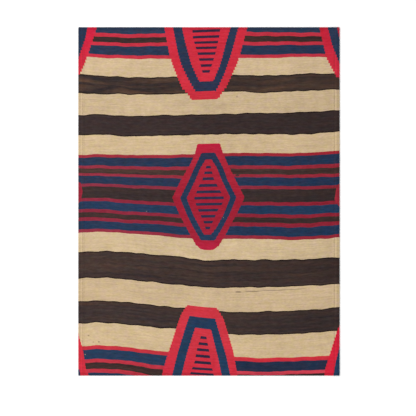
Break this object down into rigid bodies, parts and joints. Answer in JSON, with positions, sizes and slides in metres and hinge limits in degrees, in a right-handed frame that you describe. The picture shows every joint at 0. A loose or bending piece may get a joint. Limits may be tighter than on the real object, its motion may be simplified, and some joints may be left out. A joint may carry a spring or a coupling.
{
  "type": "chief blanket",
  "caption": "Flat rectangular wool blanket, woven in broad stripes with stepped diamonds, with a sewn hem along each long side; lies as a throw or floor cloth.",
  "frame": {"origin": "centre of the cloth's flat underside, on the surface that it lies on", "axes": "+X across the width, to the picture's right; +Y along the length, to the picture's top; +Z out of the woven face"},
  "size_m": [0.762, 1.016, 0.0044],
  "materials": {
    "wool": "matte weft-faced wool weave in cream, dark brown, blue and red"
  },
  "bodies": {
    "root": {"blanket": "wool"}
  },
  "joints": []
}
